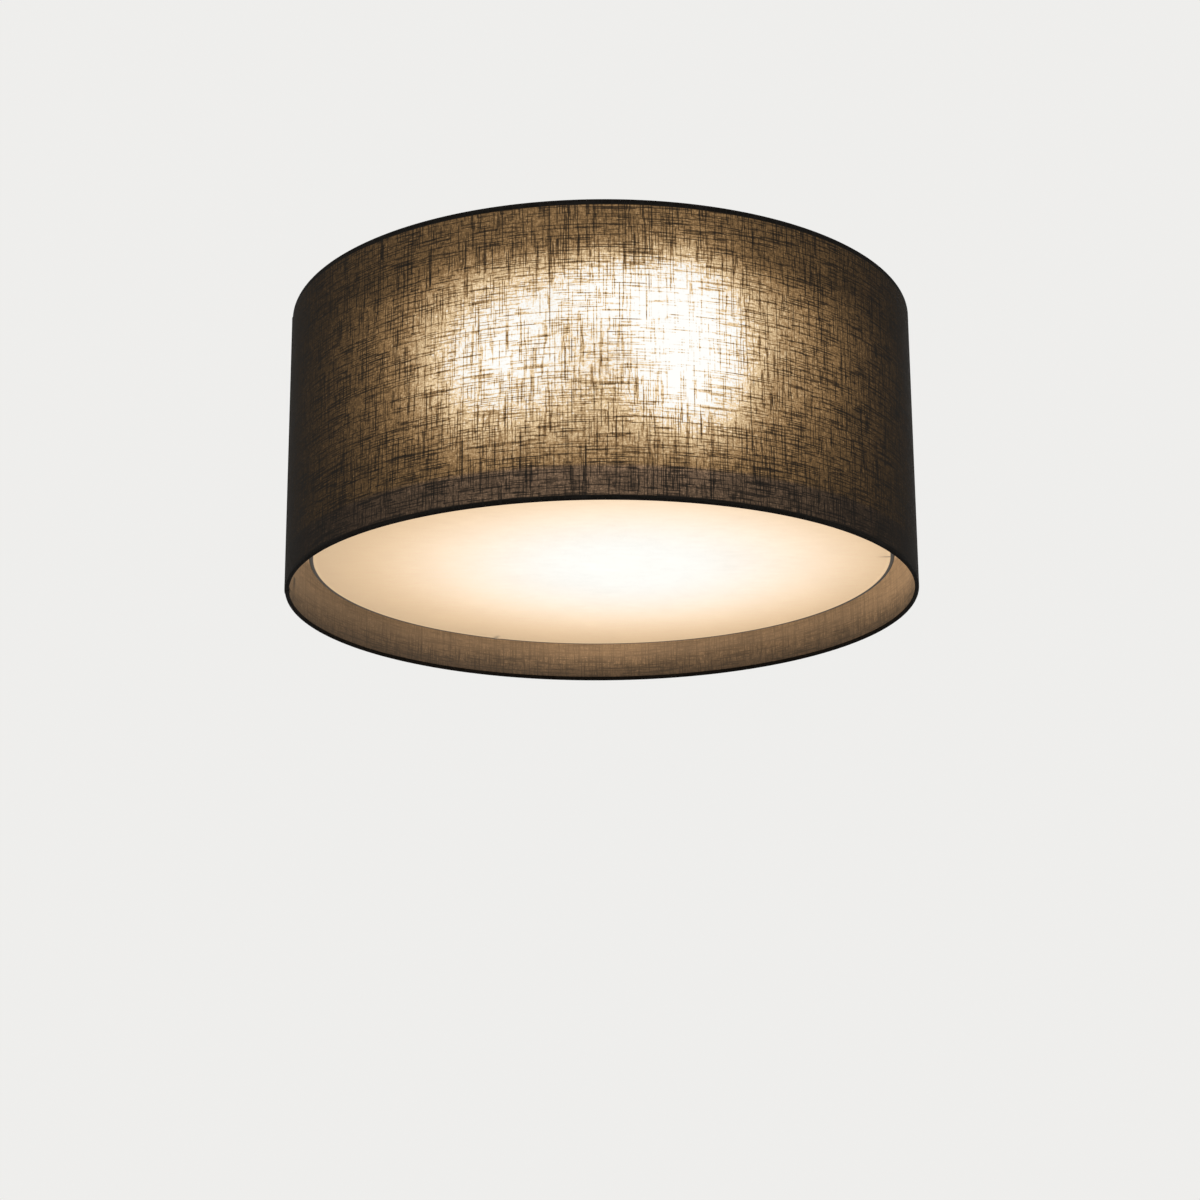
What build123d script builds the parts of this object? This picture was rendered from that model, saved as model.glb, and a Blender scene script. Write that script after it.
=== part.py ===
from build123d import *

import os
from math import cos, degrees, pi, radians, sin, sqrt

# Flush mount ceiling light: a drum shade of black linen on a translucent liner, with a pale
# diffuser disc recessed in its mouth, two screw-cap bulbs and a pan on the ceiling.
# Origin at the centre of the ceiling face, +Z up, so the light hangs below z = 0.
# Millimetres and degrees.

# Shade
SHADE_D = 500.0
SHADE_H = 231.0
CEILING_GAP = 4.0
CLOTH_T = 0.4
LINER_T = 0.3
GLUE_GAP = 0.05
RING_BAR = 2.4
LAP_W = 10.0
LAP_AZIMUTH = -175.0
ARM_WIRE_D = 3.2
ARM_AZIMUTHS = (-90.0, 30.0, 150.0)
ARM_BEND_R = 14.0
ARM_FOOT = 14.0
HUB_D = 32.0
HUB_T = 2.0

# Diffuser
DIFFUSER_GAP = 14.7
DIFFUSER_RECESS = 28.2
SHEET_T = 0.5
DIFFUSER_WIRE_D = 2.4
DIFFUSER_ARM_AZIMUTHS = (-6.0, 114.0, -126.0)
DIFFUSER_ARM_FOOT = 12.0
DIFFUSER_HUB_D = 30.0
DIFFUSER_HUB_T = 4.0
CLIP_T = 1.2
CLIP_FIT = 0.3
CLIP_FLANGE = 3.0
CLIP_FLANGE_T = 1.5
CLIP_H = 11.0

# Ceiling bracket and canopy
CANOPY_D = 190.0
CANOPY_DEPTH = 24.0
CANOPY_T = 0.8
BRACKET_W = 24.0
BRACKET_T = 2.0
BRACKET_SPAN = 100.0
BRACKET_FOOT = 17.0
SLOT_SPACING = 70.0
SLOT_L = 12.0
SLOT_W = 5.2
SCREW_D = 4.0
SCREW_L = 8.0
SCREW_HEAD_D = 7.6
SCREW_HEAD_H = 2.4
SCREW_INSET = 8.5

# Stem
STEM_D = 10.0
STEM_BORE = 7.8
STEM_TOP_GAP = 0.5
STEM_L = 107.5
STEM_SLOT_W = 7.2
LEAD_SLOT_W = 4.0
STEM_SLOT_H = 8.0
NUT_AF = 14.0
NUT_T = 4.0
THREAD_FIT = 0.05
KNOB_D = 12.0
KNOB_BODY_D = 13.0
KNOB_BODY_H = 9.0
KNOB_FLOOR = 2.0
KNOB_NECK_D = 7.0
KNOB_NECK_H = 3.0
KNOB_BALL_H = 8.0

# Lampholders, along an axis that starts on the outer face of the holder bracket's ear
BULB_AZIMUTH = -20.0
HOLDER_R = 22.0
HOLDER_DROP = 20.0
STRIP_W = 20.0
STRIP_T = 1.5
STRIP_EAR = 12.0
NIPPLE_BORE = 7.0
NIPPLE_IN = 7.0
NIPPLE_SEAT = 6.0
CAP_BACK_D = 28.0
CAP_D = 39.0
CAP_TAPER_H = 8.0
CAP_H = 15.0
BODY_FLOOR = 2.0
BODY_H = 31.0
SHELL_T = 0.6
SHELL_H = 23.0
SHELL_FIT = 0.3
CONTACT_W = 6.0
CONTACT_T = 0.5
CONTACT_L = 12.0
CONTACT_RISE = 2.6

# Bulbs
BULB_L = 78.0
BULB_CAP_D = 26.1
BULB_CAP_L = 24.0
BULB_FIT = 0.45
BULB_TIP_GAP = 0.3
BULB_CAP_T = 0.5
TIP_D = 9.5
TIP_H = 2.0
CAP_CONE_H = 3.5
BULB_NECK_D = 28.5
HOUSING_L = 12.0
HOUSING_D = 38.0
GLOBE_D = 45.0
GLOBE_BANDS = (0.0, 25.0, 48.0, 68.0, 82.0)

# Wiring
BLOCK_L = 20.0
BLOCK_W = 32.0
BLOCK_H = 15.0
BLOCK_R = 30.0
POLE_PITCH = 10.0
POLE_BORE = 3.6
POLE_DEPTH = 6.0
POLE_SCREW_D = 4.0
POLE_SCREW_H = 2.5
LEAD_D = 2.8
LEAD_OFFSET = 1.8
LEAD_BEND = 1.6
LEAD_HEIGHT = 7.0

# Flat sides that the smaller round pieces are drawn with
PAN_SIDES = 60
WIRE_SIDES = 8
LEAD_SIDES = 5
THREAD_SIDES = 12
GRIP_SIDES = 12
ROUND_SIDES = 20
GLOBE_SIDES = 24

# Places worked out from the sizes above
shade_r = SHADE_D / 2
shade_top = -CEILING_GAP
shade_bottom = shade_top - SHADE_H
cloth_in = shade_r - CLOTH_T
ring_out = cloth_in - GLUE_GAP
ring_in = ring_out - RING_BAR
hem_w = RING_BAR + 2 * (CLOTH_T + GLUE_GAP)
hem_h = CLOTH_T + GLUE_GAP + RING_BAR
diffuser_r = shade_r - hem_w - DIFFUSER_GAP
diffuser_z = shade_bottom + DIFFUSER_RECESS
sheet_z = diffuser_z + CLOTH_T + GLUE_GAP
rim_in = diffuser_r - CLOTH_T - GLUE_GAP - RING_BAR
pan_floor = -CANOPY_DEPTH
block_floor = pan_floor + CANOPY_T
screw_x = BRACKET_SPAN / 2 + SCREW_INSET
hub_top = pan_floor - NUT_T
strip_top = hub_top - HUB_T
thread_r = STEM_D / 2 + THREAD_FIT
stem_bottom = -STEM_TOP_GAP - STEM_L
ball_high = stem_bottom - KNOB_FLOOR - KNOB_NECK_H
knob_low = ball_high - KNOB_BALL_H
hub_seat = knob_low - GLUE_GAP
clip_low = hub_seat - CLIP_FLANGE_T
clip_in = KNOB_D / 2 + CLIP_FIT
clip_out = clip_in + CLIP_T
holder_z = strip_top - HOLDER_DROP
lead_z = block_floor + LEAD_HEIGHT
body_floor = CAP_H + BODY_FLOOR
shell_in = BULB_CAP_D / 2 + BULB_FIT
shell_out = shell_in + SHELL_T
bulb_start = body_floor + CONTACT_RISE + BULB_TIP_GAP
cap_low = bulb_start + TIP_H
housing_low = cap_low + BULB_CAP_L
globe_low = housing_low + HOUSING_L


def ring(points):
    """A closed outline of (radius, height) points turned round the Z axis."""
    outline = Polyline(*[(r, 0, z) for r, z in points], close=True)
    return revolve(make_face(outline.edges()), Axis.Z)


def rod(radius, low, high, sides=ROUND_SIDES):
    """A small round bar with flat sides, nowhere outside its radius."""
    return Pos(0, 0, low) * extrude(RegularPolygon(radius, sides), high - low)


def bore(radius, low, high, sides=ROUND_SIDES):
    """A small round hole with flat sides, nowhere inside its radius."""
    return Pos(0, 0, low) * extrude(RegularPolygon(radius, sides, major_radius=False), high - low)


def tapered(sections, sides=ROUND_SIDES):
    """Flat-sided walls through (radius, height) sections, one above the other, closed at both ends."""
    angles = [2 * pi * i / sides for i in range(sides)]
    loops = [[(r * cos(a), r * sin(a), z) for a in angles] for r, z in sections]
    faces = [Face(Wire.make_polygon(loop)) for loop in (loops[0], loops[-1])]
    for lower, upper in zip(loops, loops[1:]):
        for i in range(sides):
            j = (i + 1) % sides
            faces.append(Face(Wire.make_polygon([lower[i], lower[j], upper[j], upper[i]])))
    return Solid(Shell(faces))


def wire_along(path, diameter, sides=WIRE_SIDES):
    start = Plane(origin=path @ 0, z_dir=path % 0)
    return sweep(start * RegularPolygon(diameter / 2, sides), path=path, transition=Transition.RIGHT)


def turned(shape, azimuth):
    return Rot(0, 0, azimuth) * shape


def sheet_strip(points, width):
    """A bent strip: its edge-on outline in the XZ plane, widened both ways along Y."""
    outline = Polyline(*[(x, 0, z) for x, z in points], close=True)
    return extrude(make_face(outline.edges()), width / 2, dir=(0, 1, 0), both=True)


def mirrored(points):
    return points + [(-x, z) for x, z in reversed(points)]


# ---- Shade ----

def shade_fabric():
    """A tube of cloth turned in over each ring's edge."""
    fold = shade_r - hem_w
    return ring([
        (fold, shade_bottom), (shade_r, shade_bottom), (shade_r, shade_top), (fold, shade_top),
        (fold, shade_top - CLOTH_T), (cloth_in, shade_top - CLOTH_T),
        (cloth_in, shade_bottom + CLOTH_T), (fold, shade_bottom + CLOTH_T),
    ])


def shade_liner():
    low, high = shade_bottom + hem_h + GLUE_GAP, shade_top - hem_h - GLUE_GAP
    liner_out = cloth_in - GLUE_GAP
    liner_in = liner_out - LINER_T
    return ring([(liner_in, low), (liner_out, low), (liner_out, high), (liner_in, high)])


def shade_ring(low):
    return ring([(ring_in, low), (ring_out, low), (ring_out, low + RING_BAR), (ring_in, low + RING_BAR)])


def shade_seam():
    """The outer end of the cloth, lapped over its start and glued."""
    inner = shade_r + GLUE_GAP
    outer = inner + CLOTH_T
    outline = Polyline(
        (inner, 0, shade_bottom), (outer, 0, shade_bottom), (outer, 0, shade_top), (inner, 0, shade_top), close=True
    )
    lap = revolve(make_face(outline.edges()), Axis.Z, degrees(LAP_W / shade_r))
    return turned(lap, LAP_AZIMUTH)


def shade_arm():
    """From the hub out past the pan, then up to lie under the top ring."""
    reach = ring_out - LINER_T - 2 * GLUE_GAP
    seat = shade_top - hem_h - ARM_WIRE_D / 2 - GLUE_GAP
    level = hub_top + ARM_WIRE_D / 2
    points = [
        (NUT_AF / sqrt(3) + 1, 0, level),
        (CANOPY_D / 2 + ARM_BEND_R, 0, level),
        (reach - ARM_FOOT, 0, seat),
        (reach, 0, seat),
    ]
    return wire_along(FilletPolyline(*points, radius=ARM_BEND_R), ARM_WIRE_D)


def shade_hub():
    plate = rod(HUB_D / 2, strip_top, hub_top, GRIP_SIDES)
    return plate - bore(thread_r, strip_top, hub_top, THREAD_SIDES)


# ---- Diffuser ----

def diffuser_cloth():
    """A disc of cloth turned up round its ring."""
    r, z = diffuser_r, diffuser_z
    top = z + hem_h
    return ring([(0, z), (r, z), (r, top), (r - CLOTH_T, top), (r - CLOTH_T, z + CLOTH_T), (0, z + CLOTH_T)])


def diffuser_ring():
    low, high, inner = sheet_z, sheet_z + RING_BAR, rim_in
    outer = inner + RING_BAR
    return ring([(inner, low), (outer, low), (outer, high), (inner, high)])


def diffuser_sheet():
    radius = rim_in - GLUE_GAP
    return ring([(0, sheet_z), (radius, sheet_z), (radius, sheet_z + SHEET_T), (0, sheet_z + SHEET_T)])


def diffuser_arm():
    """From the hub down to the sheet's edge, where it is welded to the ring."""
    reach = rim_in - GLUE_GAP
    seat = sheet_z + SHEET_T + GLUE_GAP + DIFFUSER_WIRE_D / 2
    start = DIFFUSER_HUB_D / 2 + GLUE_GAP
    level = hub_seat + DIFFUSER_HUB_T / 2
    points = [
        (start, 0, level),
        (start + DIFFUSER_ARM_FOOT, 0, level),
        (reach - DIFFUSER_ARM_FOOT, 0, seat),
        (reach, 0, seat),
    ]
    return wire_along(FilletPolyline(*points, radius=DIFFUSER_ARM_FOOT), DIFFUSER_WIRE_D)


def diffuser_clip():
    """A spring socket round the knob, with a flange that carries the hub."""
    socket = rod(clip_out, hub_seat, clip_low + CLIP_H) - bore(clip_in, hub_seat, clip_low + CLIP_H)
    return socket + rod(clip_out + CLIP_FLANGE, clip_low, hub_seat)


def diffuser_hub():
    high = hub_seat + DIFFUSER_HUB_T
    plate = rod(DIFFUSER_HUB_D / 2, hub_seat, high)
    return plate - bore(clip_out + CLIP_FIT, hub_seat, high)


# ---- Ceiling side ----

def ceiling_bracket():
    """A steel strip bent to a hat: slots in its crown, tapped holes in its feet."""
    half, low, t = BRACKET_SPAN / 2, block_floor, BRACKET_T
    strip = sheet_strip(
        mirrored([
            (half, 0), (half, low + t), (half + BRACKET_FOOT, low + t),
            (half + BRACKET_FOOT, low), (half - t, low), (half - t, -t),
        ]),
        BRACKET_W,
    )
    slot = extrude(SlotOverall(SLOT_L, SLOT_W), -t)
    strip -= bore(thread_r, -t, 0, THREAD_SIDES)
    for side in (-1, 1):
        strip -= Pos(side * SLOT_SPACING / 2, 0, 0) * slot
        strip -= Pos(side * screw_x, 0, 0) * bore(SCREW_D / 2 + THREAD_FIT, low, low + t, THREAD_SIDES)
    return strip


def canopy():
    """A pressed pan, open against the ceiling."""
    pan = rod(CANOPY_D / 2, pan_floor, 0, PAN_SIDES) - rod(CANOPY_D / 2 - CANOPY_T, block_floor, 0, PAN_SIDES)
    pan -= bore(thread_r, pan_floor, block_floor, THREAD_SIDES)
    for side in (-1, 1):
        pan -= Pos(side * screw_x, 0, 0) * bore(SCREW_D / 2 + THREAD_FIT, pan_floor, block_floor, THREAD_SIDES)
    return pan


def canopy_screws():
    head_low = pan_floor - SCREW_HEAD_H
    screw = rod(SCREW_D / 2, pan_floor, pan_floor + SCREW_L, THREAD_SIDES)
    screw += rod(SCREW_HEAD_D / 2, head_low, pan_floor, THREAD_SIDES)
    screw -= Pos(0, 0, head_low) * Box(SCREW_HEAD_D, SCREW_D / 4, SCREW_HEAD_H)
    return Compound(children=[Pos(side * screw_x, 0, 0) * screw for side in (-1, 1)])


def stem():
    """A threaded tube with a slot inside the pan and a cross hole at the lampholders for the leads."""
    tube = rod(STEM_D / 2, stem_bottom, -STEM_TOP_GAP, THREAD_SIDES)
    tube -= bore(STEM_BORE / 2, stem_bottom, -STEM_TOP_GAP, THREAD_SIDES)
    tube -= Pos(0, -STEM_D / 2, lead_z) * Box(STEM_SLOT_W, STEM_D, STEM_SLOT_H)
    tube -= Pos(0, 0, holder_z) * Box(2 * STEM_D, LEAD_SLOT_W, STEM_SLOT_H)
    return turned(tube, BULB_AZIMUTH)


def nut(high):
    low = high - NUT_T
    return rod(NUT_AF / sqrt(3), low, high, 6) - bore(thread_r, low, high, THREAD_SIDES)


def stem_nuts():
    return Compound(children=[nut(high) for high in (-BRACKET_T, pan_floor, strip_top - STRIP_T)])


def stem_knob():
    """Turned brass: a body screwed on the stem, a neck and a blunt ball."""
    body_low = stem_bottom - KNOB_FLOOR
    body_high = body_low + KNOB_BODY_H
    quarter = KNOB_BALL_H / 4
    body = rod(KNOB_BODY_D / 2, body_low, body_high) - bore(thread_r, stem_bottom, body_high, THREAD_SIDES)
    neck = rod(KNOB_NECK_D / 2, ball_high, body_low)
    ball = tapered([
        (KNOB_NECK_D / 2, knob_low), (KNOB_D / 2, knob_low + quarter),
        (KNOB_D / 2, ball_high - quarter), (KNOB_NECK_D / 2, ball_high),
    ])
    return body + neck + ball


# ---- Wiring: the block stands beside the stem, square to the bulbs' axis ----

def terminal_block():
    block = Pos(0, -BLOCK_R, block_floor) * Box(BLOCK_W, BLOCK_L, BLOCK_H, align=(Align.CENTER, Align.MAX, Align.MIN))
    for side in (-1, 1):
        pole = Pos(side * POLE_PITCH / 2, -BLOCK_R, lead_z) * Rot(90, 0, 0)
        block -= pole * bore(POLE_BORE / 2, 0, POLE_DEPTH, WIRE_SIDES)
    return turned(block, BULB_AZIMUTH)


def terminal_screws():
    high = block_floor + BLOCK_H
    screw = Pos(0, -BLOCK_R - BLOCK_L / 3, 0) * rod(POLE_SCREW_D / 2, high, high + POLE_SCREW_H, THREAD_SIDES)
    return Compound(children=[turned(Pos(side * POLE_PITCH / 2, 0, 0) * screw, BULB_AZIMUTH) for side in (-1, 1)])


def lead(side):
    """From the terminal block, down inside the stem, and out into one lampholder."""
    inside = side * LEAD_OFFSET
    route = [
        (side * POLE_PITCH / 2, -BLOCK_R - LEAD_D / 2, lead_z),
        (inside, -LEAD_BEND, lead_z),
        (inside, 0, lead_z - LEAD_BEND),
        (inside, 0, holder_z + LEAD_BEND),
        (inside + side * LEAD_BEND, 0, holder_z),
        (side * (HOLDER_R + LEAD_D), 0, holder_z),
    ]
    return turned(wire_along(Polyline(*route), LEAD_D, LEAD_SIDES), BULB_AZIMUTH)


# ---- Lampholders ----

def on_holder(shape, side):
    """Carries a piece built along +Z from the ear's outer face to one of the two lampholders."""
    seat = Plane(origin=(HOLDER_R, 0, holder_z), x_dir=(0, 1, 0), z_dir=(1, 0, 0))
    azimuth = BULB_AZIMUTH if side > 0 else BULB_AZIMUTH + 180
    return turned(seat.location * shape, azimuth)


def both_holders(shape):
    return Compound(children=[on_holder(shape, side) for side in (1, -1)])


def holder_bracket():
    """A steel strip under the shade's hub with an ear bent down at each end."""
    half, top, low, t = HOLDER_R, strip_top, holder_z - STRIP_EAR, STRIP_T
    strip = sheet_strip(mirrored([(half, top), (half, low), (half - t, low), (half - t, top - t)]), STRIP_W)
    strip = turned(strip, BULB_AZIMUTH) - bore(thread_r, top - t, top, THREAD_SIDES)
    for side in (-1, 1):
        strip -= on_holder(bore(thread_r, -t, 0, THREAD_SIDES), side)
    return strip


def holder_nipple():
    tube = rod(STEM_D / 2, -NIPPLE_IN, NIPPLE_SEAT, THREAD_SIDES)
    return tube - bore(NIPPLE_BORE / 2, -NIPPLE_IN, NIPPLE_SEAT, THREAD_SIDES)


def lampholder_cap():
    """Twelve-sided moulding that tapers to the ear, with the nipple's thread in its back."""
    cap = tapered([(CAP_BACK_D / 2, 0), (CAP_D / 2, CAP_TAPER_H), (CAP_D / 2, CAP_H)], GRIP_SIDES)
    return cap - bore(thread_r, 0, NIPPLE_SEAT + THREAD_FIT, THREAD_SIDES)


def lampholder_body():
    """Twelve-sided sleeve with a floor behind the screw shell."""
    high = CAP_H + BODY_H
    return rod(CAP_D / 2, CAP_H, high, GRIP_SIDES) - bore(shell_out + SHELL_FIT, body_floor, high)


def lampholder_shell():
    high = body_floor + SHELL_H
    return rod(shell_out, body_floor, high) - bore(shell_in, body_floor, high)


def lampholder_contact():
    """A brass blade folded up in the middle to meet the bulb's tip."""
    half, crown = CONTACT_L / 2, CONTACT_L / 5
    low, high = body_floor, body_floor + CONTACT_RISE
    return sheet_strip(mirrored([(half, low), (half, low + CONTACT_T), (crown, high)]), CONTACT_W)


# ---- Bulbs, from the tip outwards ----

def bulb_contact():
    """The turned end contact, on which the bulb turns."""
    return Pos(0, 0, bulb_start) * Cylinder(TIP_D / 2, TIP_H, align=(Align.CENTER, Align.CENTER, Align.MIN))


def bulb_cap():
    """A thin screw cap, open towards the housing; its thread is left out."""
    cone_high, r = cap_low + CAP_CONE_H, BULB_CAP_D / 2
    shell = tapered([(TIP_D / 2, cap_low), (r, cone_high), (r, housing_low)])
    hollow = [(TIP_D / 2, cap_low + BULB_CAP_T), (r - BULB_CAP_T, cone_high), (r - BULB_CAP_T, housing_low)]
    return shell - tapered(hollow)


def bulb_housing():
    return tapered([(BULB_NECK_D / 2, housing_low), (HOUSING_D / 2, globe_low)], GLOBE_SIDES)


def bulb_globe():
    """A ball in flat bands, cut off where it meets the housing."""
    r = GLOBE_D / 2
    centre = bulb_start + BULB_L - r
    bands = [(r * cos(radians(a)), centre + r * sin(radians(a))) for a in GLOBE_BANDS]
    return tapered([(HOUSING_D / 2, globe_low)] + bands, GLOBE_SIDES)


SIDES = {"1": 1, "2": -1}
nodes = {
    "ceiling_bracket": ceiling_bracket(),
    "canopy": canopy(),
    "canopy_screws": canopy_screws(),
    "stem": stem(),
    "stem_nuts": stem_nuts(),
    "stem_knob": stem_knob(),
    "terminal_block": terminal_block(),
    "terminal_screws": terminal_screws(),
    "holder_bracket": holder_bracket(),
    "holder_nipples": both_holders(holder_nipple()),
    "holder_nuts": both_holders(nut(-STRIP_T)),
    "shade_fabric": shade_fabric(),
    "shade_liner": shade_liner(),
    "shade_seam": shade_seam(),
    "shade_top_ring": shade_ring(shade_top - hem_h),
    "shade_bottom_ring": shade_ring(shade_bottom + CLOTH_T + GLUE_GAP),
    "shade_hub": shade_hub(),
    "diffuser_fabric": diffuser_cloth(),
    "diffuser_sheet": diffuser_sheet(),
    "diffuser_ring": diffuser_ring(),
    "diffuser_hub": diffuser_hub(),
    "diffuser_clip": diffuser_clip(),
}
for number, azimuth in enumerate(ARM_AZIMUTHS, 1):
    nodes[f"shade_arm_{number}"] = turned(shade_arm(), azimuth)
for number, azimuth in enumerate(DIFFUSER_ARM_AZIMUTHS, 1):
    nodes[f"diffuser_arm_{number}"] = turned(diffuser_arm(), azimuth)
for number, side in SIDES.items():
    nodes[f"lead_{number}"] = lead(side)
    nodes[f"lampholder_cap_{number}"] = on_holder(lampholder_cap(), side)
    nodes[f"lampholder_body_{number}"] = on_holder(lampholder_body(), side)
    nodes[f"lampholder_shell_{number}"] = on_holder(lampholder_shell(), side)
    nodes[f"lampholder_contact_{number}"] = on_holder(lampholder_contact(), side)
    nodes[f"bulb_contact_{number}"] = on_holder(bulb_contact(), side)
    nodes[f"bulb_cap_{number}"] = on_holder(bulb_cap(), side)
    nodes[f"bulb_housing_{number}"] = on_holder(bulb_housing(), side)
    nodes[f"bulb_globe_{number}"] = on_holder(bulb_globe(), side)

os.makedirs("parts", exist_ok=True)
for name, shape in nodes.items():
    export_step(shape, os.path.join("parts", name + ".step"))
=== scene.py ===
import math
from math import cos, pi, radians, sin, sqrt, tan

import bmesh
import bpy
from mathutils import Matrix, Vector


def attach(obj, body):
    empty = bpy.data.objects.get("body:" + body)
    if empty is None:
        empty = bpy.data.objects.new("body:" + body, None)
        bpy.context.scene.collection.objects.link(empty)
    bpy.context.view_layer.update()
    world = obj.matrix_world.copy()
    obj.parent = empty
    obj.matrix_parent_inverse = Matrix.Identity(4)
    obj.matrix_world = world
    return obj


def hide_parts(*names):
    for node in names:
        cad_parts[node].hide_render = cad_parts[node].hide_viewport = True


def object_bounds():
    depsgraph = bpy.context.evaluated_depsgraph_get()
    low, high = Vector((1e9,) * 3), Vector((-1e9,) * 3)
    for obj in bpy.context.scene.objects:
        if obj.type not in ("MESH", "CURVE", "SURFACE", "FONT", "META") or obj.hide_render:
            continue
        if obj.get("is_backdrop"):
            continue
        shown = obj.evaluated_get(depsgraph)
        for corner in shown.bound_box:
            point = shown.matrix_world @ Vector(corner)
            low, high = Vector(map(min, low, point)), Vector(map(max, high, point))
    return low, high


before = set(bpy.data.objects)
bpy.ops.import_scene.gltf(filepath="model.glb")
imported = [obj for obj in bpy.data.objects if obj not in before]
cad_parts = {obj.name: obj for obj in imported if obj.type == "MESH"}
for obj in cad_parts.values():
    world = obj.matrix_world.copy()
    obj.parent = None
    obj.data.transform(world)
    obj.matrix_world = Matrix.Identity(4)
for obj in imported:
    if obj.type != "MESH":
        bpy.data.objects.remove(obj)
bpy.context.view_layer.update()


# ---- Ceiling bracket ----
# A 2 mm steel strip bent to a hat and zinc plated. Its crown is screwed to the ceiling through
# two slots, and its feet hold the canopy. The stem hangs from the hole in the middle.

# Every shape is drawn in millimetres, with the ceiling at height 0.
HAT_W, HAT_T, HAT_SPAN, HAT_LENGTH = 24.0, 2.0, 100.0, 133.6
HAT_BEND_R, HAT_END_R = 3.0, 4.0
CEILING_SLOT_L, CEILING_SLOT_W, CEILING_SLOT_X = 12.0, 5.2, 35.0
CANOPY_DEPTH, CANOPY_T = 24.0, 0.8
SCREW_X, SCREW_R = 58.5, 2.0
STEM_R, FIT = 5.0, 0.05
CUT = 1.0               # how far a cutting tool stands out of what it cuts
ARC_STEPS = 5


def mesh_of(points, faces):
    """A mesh with its faces turned outwards."""
    mesh = bpy.data.meshes.new("shape")
    mesh.from_pydata([tuple(p) for p in points], [], faces)
    shell = bmesh.new()
    shell.from_mesh(mesh)
    bmesh.ops.recalc_face_normals(shell, faces=shell.faces)
    shell.to_mesh(mesh)
    shell.free()
    return mesh


def rounded(points, radii, closed=True, steps=ARC_STEPS):
    """The line through points with arcs for corners; one radius for all, or one for each."""
    line = [Vector(p) for p in points]
    radii = [radii] * len(line) if isinstance(radii, (int, float)) else radii
    out = []
    for i, (here, radius) in enumerate(zip(line, radii)):
        if not radius or (not closed and i in (0, len(line) - 1)):
            out.append(here)
            continue
        a = (line[i - 1] - here).normalized()
        b = (line[(i + 1) % len(line)] - here).normalized()
        half = a.angle(b) / 2
        centre = here + (a + b).normalized() * (radius / sin(half))
        first = here + a * (radius / tan(half)) - centre
        last = here + b * (radius / tan(half)) - centre
        arc = first.angle(last)
        for t in (k / steps for k in range(steps + 1)):
            out.append(centre + (first * sin((1 - t) * arc) + last * sin(t * arc)) / sin(arc))
    return out


def oblong(wide, deep, corner=0.0, at=(0.0, 0.0)):
    """A rectangle's outline, centred on a point."""
    x, y, a, b = *at, wide / 2, deep / 2
    return rounded([(x - a, y - b), (x + a, y - b), (x + a, y + b), (x - a, y + b)], corner)


def prism(outline, low, high):
    """An outline in the XY plane, raised from low to high."""
    count = len(outline)
    points = [(p[0], p[1], z) for z in (low, high) for p in outline]
    sides = [(i, (i + 1) % count, count + (i + 1) % count, count + i) for i in range(count)]
    return mesh_of(points, [tuple(range(count)), tuple(range(count, 2 * count))] + sides)


def disc(radius, low, high, steps=40):
    turns = [2 * pi * k / steps for k in range(steps)]
    return prism([(radius * cos(a), radius * sin(a)) for a in turns], low, high)


def moved(mesh, place):
    mesh.transform(place)
    return mesh


def modified(mesh, kind, **settings):
    """The mesh with one modifier applied."""
    work = bpy.data.objects.new("work", mesh)
    bpy.context.scene.collection.objects.link(work)
    modifier = work.modifiers.new(kind, kind)
    for setting, value in settings.items():
        setattr(modifier, setting, value)
    graph = bpy.context.evaluated_depsgraph_get()
    result = bpy.data.meshes.new_from_object(work.evaluated_get(graph))
    bpy.data.objects.remove(work)
    return result


def combined(mesh, others, operation="DIFFERENCE"):
    """The mesh with others cut out of it, or joined to it."""
    for other in others:
        tool = bpy.data.objects.new("tool", other)
        bpy.context.scene.collection.objects.link(tool)
        tool.hide_render = True
        mesh = modified(mesh, "BOOLEAN", object=tool, operation=operation, solver="EXACT")
        bpy.data.objects.remove(tool)
    return mesh


def eased(mesh, width):
    """The mesh with its sharp edges broken."""
    return modified(mesh, "BEVEL", width=width, segments=2, limit_method="ANGLE",
                    angle_limit=radians(32))


def bent_strip(path, width, thickness, corner, corner_steps=8):
    """A flat strip along an XZ path, its width along Y and its end corners rounded."""
    run = [0.0]
    for a, b in zip(path, path[1:]):
        run.append(run[-1] + (b - a).length)
    into = [corner * (1 - cos(pi / 2 * k / corner_steps)) for k in range(1, corner_steps + 1)]
    stations = sorted(set(run) | set(into) | {run[-1] - d for d in into})
    points, i = [], 0
    for s in stations:
        while i < len(path) - 2 and s > run[i + 1]:
            i += 1
        here = path[i].lerp(path[i + 1], (s - run[i]) / (run[i + 1] - run[i]))
        at_bend = abs(s - run[i + 1]) < 1e-6
        ahead = path[min(i + 2, len(path) - 1)] - path[i] if at_bend else path[i + 1] - path[i]
        normal = Vector((-ahead.y, ahead.x)).normalized() * thickness / 2
        end = min(s, run[-1] - s, corner)
        rise = sqrt(max(corner ** 2 - (corner - end) ** 2, 0.0))
        half = width / 2 - corner + max(rise, 0.02)
        for side, way in ((-half, 1), (half, 1), (half, -1), (-half, -1)):
            points.append((here.x + way * normal.x, side, here.y + way * normal.y))
    last = len(points) - 4
    faces = [(0, 1, 2, 3), (last, last + 1, last + 2, last + 3)]
    for k in range(0, last, 4):
        faces += [(k + j, k + (j + 1) % 4, k + 4 + (j + 1) % 4, k + 4 + j) for j in range(4)]
    return mesh_of(points, faces)


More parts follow.
